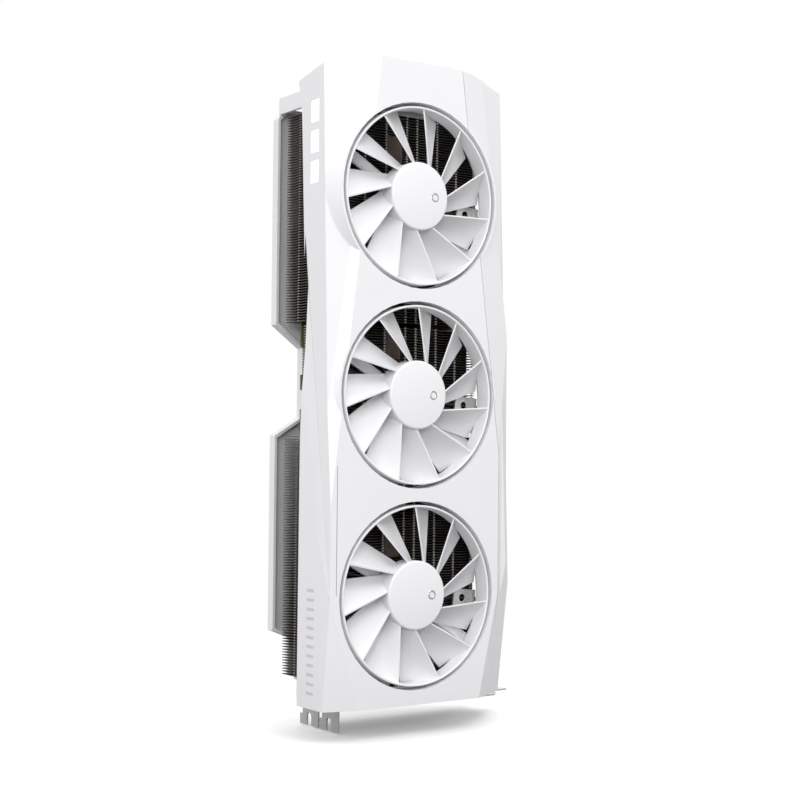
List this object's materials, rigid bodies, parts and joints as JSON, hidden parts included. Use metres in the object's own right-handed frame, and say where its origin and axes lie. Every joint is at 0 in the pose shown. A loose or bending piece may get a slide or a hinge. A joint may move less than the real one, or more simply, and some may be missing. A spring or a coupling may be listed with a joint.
{
  "type": "graphics card",
  "caption": "Long graphics card: faceted white shroud with ring fans in a row, dark fin stacks, heat pipes, circuit board, steel I/O bracket and vented backplate.",
  "frame": {"origin": "on the outer face of the I/O bracket, level with the component side of the circuit board, in the plane of the fan axes", "axes": "+Z along the card from the bracket to the tail, -Y the fan side, +Y the backplate side, -X the top edge with the power sockets, +X the slot-connector edge"},
  "size_m": [0.1459, 0.0734, 0.3664],
  "materials": {
    "shell_white": "satin moulded white with a fine grain",
    "fan_white": "satin white",
    "light_lens": "translucent white diffuser",
    "fin_dark": "dark nickel-plated sheet",
    "nickel": "bright nickel",
    "pipe_copper": "dull plated copper",
    "winding_copper": "enamelled copper",
    "board_green": "olive solder mask",
    "chip_black": "moulded package",
    "socket_black": "moulded nylon",
    "steel_black": "black coated spring steel",
    "bracket_steel": "plated sheet steel",
    "port_steel": "plated shell",
    "screw_steel": "zinc plated",
    "magnet_grey": "bonded ferrite",
    "wire_black": "insulation"
  },
  "bodies": {
    "card": {"shroud": "shell_white", "light_guide": "light_lens", "light_board": "board_green", "tail_bracket": "shell_white", "backplate": "shell_white", "fin_stack_bracket_end": "fin_dark", "fin_stack_middle": "fin_dark", "fin_stack_tail": "fin_dark", "cold_plate": "nickel", "circuit_board": "board_green", "graphics_chip": "chip_black", "chip_clamp": "steel_black", "io_bracket": "bracket_steel", "hdmi_port": "port_steel", "fan_mount_1": "fan_white", "stator_1": "winding_copper", "bearing_1": "nickel", "fan_lead_1": "wire_black", "displayport_1": "port_steel", "fan_mount_2": "fan_white", "stator_2": "winding_copper", "bearing_2": "nickel", "fan_lead_2": "wire_black", "displayport_2": "port_steel", "fan_mount_3": "fan_white", "stator_3": "winding_copper", "bearing_3": "nickel", "fan_lead_3": "wire_black", "displayport_3": "port_steel", "heat_pipe_1": "pipe_copper", "memory_chip_1": "chip_black", "clamp_screw_1": "screw_steel", "heat_pipe_2": "pipe_copper", "memory_chip_2": "chip_black", "clamp_screw_2": "screw_steel", "heat_pipe_3": "pipe_copper", "memory_chip_3": "chip_black", "clamp_screw_3": "screw_steel", "heat_pipe_4": "pipe_copper", "memory_chip_4": "chip_black", "clamp_screw_4": "screw_steel", "backplate_screw_1": "screw_steel", "backplate_screw_2": "screw_steel", "backplate_screw_3": "screw_steel", "backplate_screw_4": "screw_steel", "backplate_screw_5": "screw_steel", "backplate_screw_6": "screw_steel", "power_socket_1": "socket_black", "bracket_screw_1": "screw_steel", "power_socket_2": "socket_black", "bracket_screw_2": "screw_steel"},
    "rotor_1": {"fan_rotor_1": "fan_white", "magnet_ring_1": "magnet_grey", "fan_shaft_1": "nickel"},
    "rotor_2": {"fan_rotor_2": "fan_white", "magnet_ring_2": "magnet_grey", "fan_shaft_2": "nickel"},
    "rotor_3": {"fan_rotor_3": "fan_white", "magnet_ring_3": "magnet_grey", "fan_shaft_3": "nickel"}
  },
  "joints": [
    {"name": "fan_spin_1", "type": "hinge", "parent": "card", "child": "rotor_1", "pos_m": [0, -0.058, 0.064], "axis": [0, -1, 0], "continuous": true},
    {"name": "fan_spin_2", "type": "hinge", "parent": "card", "child": "rotor_2", "pos_m": [0, -0.058, 0.173], "axis": [0, -1, 0], "continuous": true},
    {"name": "fan_spin_3", "type": "hinge", "parent": "card", "child": "rotor_3", "pos_m": [0, -0.058, 0.282], "axis": [0, -1, 0], "continuous": true}
  ]
}
